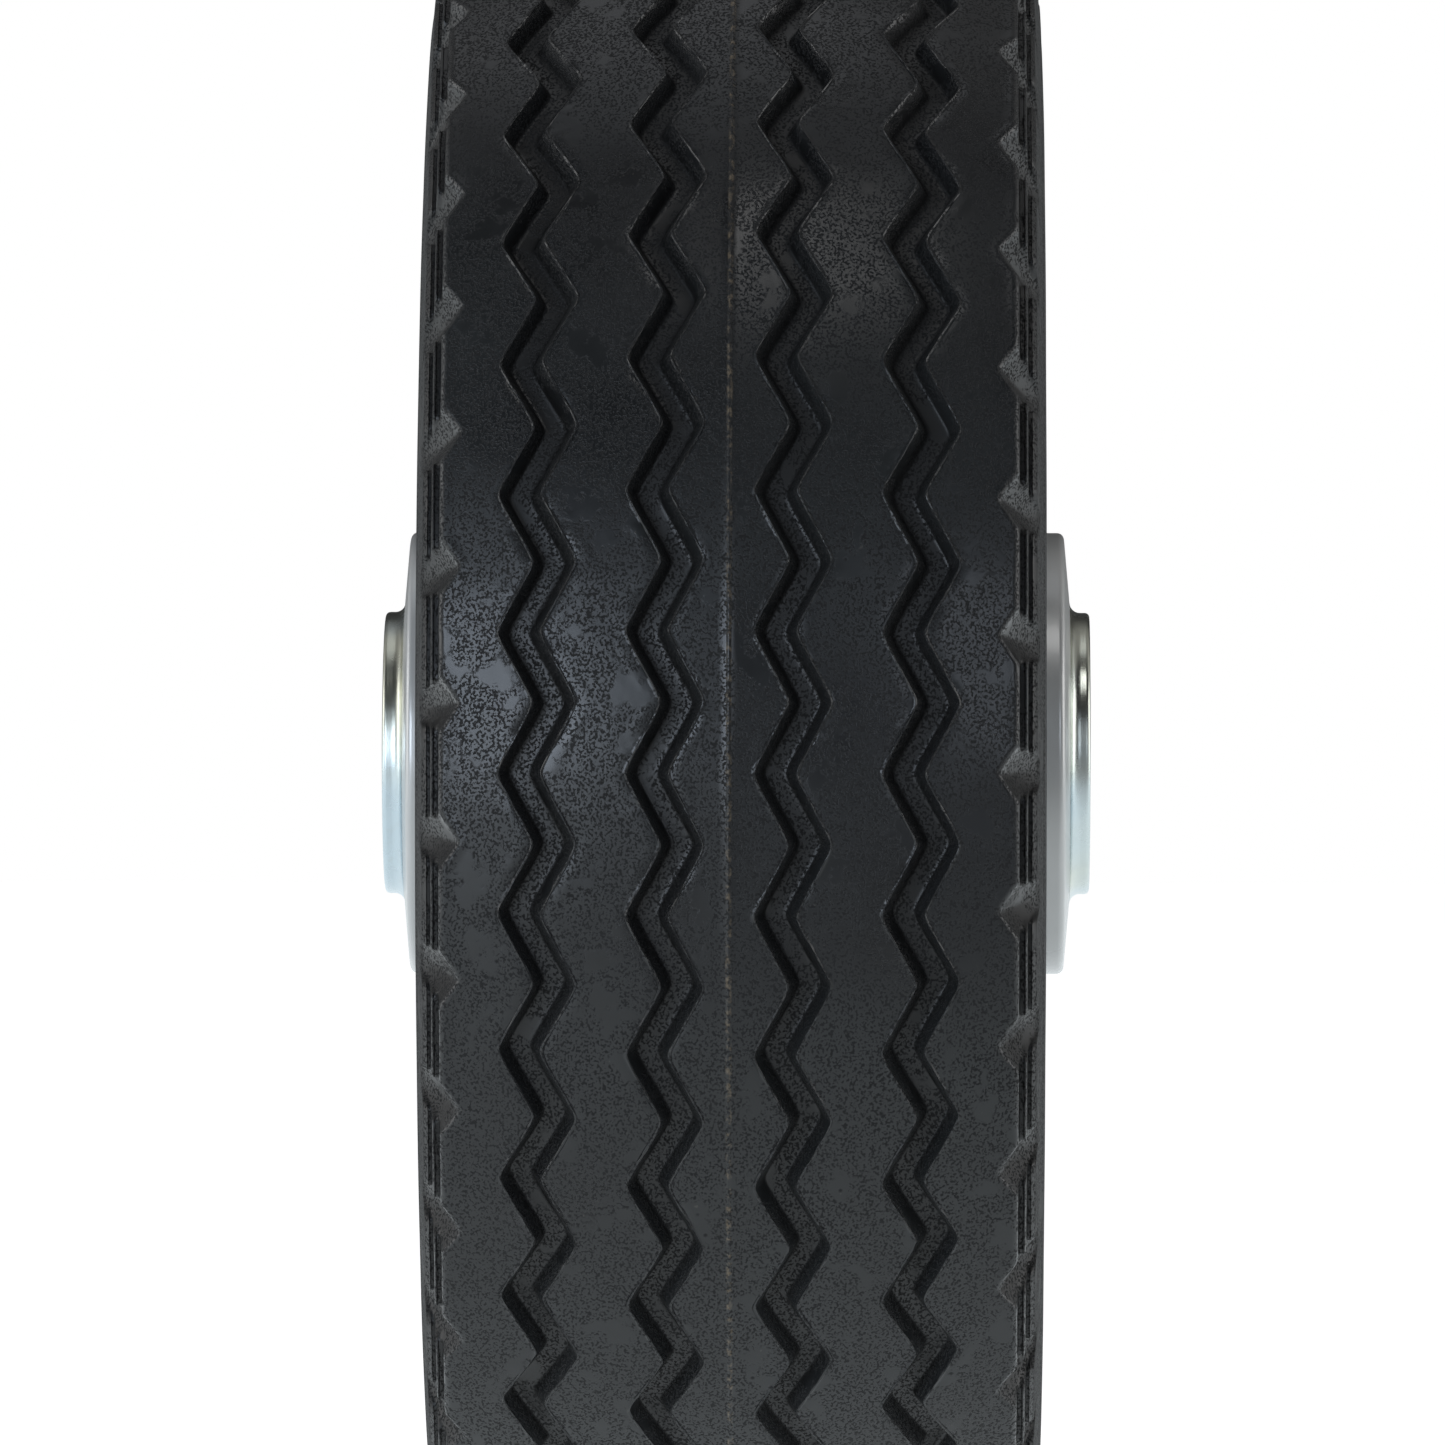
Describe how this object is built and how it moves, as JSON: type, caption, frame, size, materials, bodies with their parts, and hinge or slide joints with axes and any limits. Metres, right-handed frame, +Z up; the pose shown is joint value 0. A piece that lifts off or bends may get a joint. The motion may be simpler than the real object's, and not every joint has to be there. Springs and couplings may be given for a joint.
{
  "type": "wheel",
  "caption": "Solid flat-free utility wheel: zigzag-grooved tyre on a bolted two-piece steel rim, turning on sealed ball bearings.",
  "frame": {"origin": "centre of the wheel: on the axle line, halfway between the hub ends", "axes": "+Y along the axle towards the nut side, +Z up"},
  "size_m": [0.26, 0.1, 0.26],
  "materials": {
    "rubber": "semi-gloss moulded skin, fine grain",
    "rim_steel": "light grey coated pressed steel",
    "zinc": "bright zinc plated",
    "fastener": "zinc plated",
    "bearing_steel": "ground bearing steel",
    "cage": "pressed steel",
    "seal": "matt black rubber over steel"
  },
  "bodies": {
    "axle_core": {"spacer_tube": "zinc", "bearing_inner_ring_left": "bearing_steel", "bearing_inner_ring_right": "bearing_steel"},
    "wheel": {"tyre": "rubber", "hub_tube": "zinc", "rim_half_left": "rim_steel", "weld_fillet_left": "zinc", "bearing_outer_ring_left": "bearing_steel", "bearing_seal_outer_left": "seal", "bearing_seal_inner_left": "seal", "rim_half_right": "rim_steel", "weld_fillet_right": "zinc", "bearing_outer_ring_right": "bearing_steel", "bearing_seal_outer_right": "seal", "bearing_seal_inner_right": "seal", "rim_bolts": "fastener", "rim_spring_washers": "fastener", "rim_nuts": "fastener"},
    "ball_set_left": {"bearing_balls_left": "bearing_steel", "bearing_cage_left": "cage"},
    "ball_set_right": {"bearing_balls_right": "bearing_steel", "bearing_cage_right": "cage"}
  },
  "joints": [
    {"name": "wheel_spin", "type": "hinge", "parent": "axle_core", "child": "wheel", "pos_m": [0, 0, 0], "axis": [0, 1, 0], "continuous": true},
    {"name": "ball_set_left_spin", "type": "hinge", "parent": "axle_core", "child": "ball_set_left", "pos_m": [0, -0.044, 0], "axis": [0, 1, 0], "continuous": true},
    {"name": "ball_set_right_spin", "type": "hinge", "parent": "axle_core", "child": "ball_set_right", "pos_m": [0, 0.044, 0], "axis": [0, 1, 0], "continuous": true}
  ],
  "couplings": [
    {"joint": "ball_set_left_spin", "follows": "wheel_spin", "ratio": 0.6183},
    {"joint": "ball_set_right_spin", "follows": "wheel_spin", "ratio": 0.6183}
  ]
}
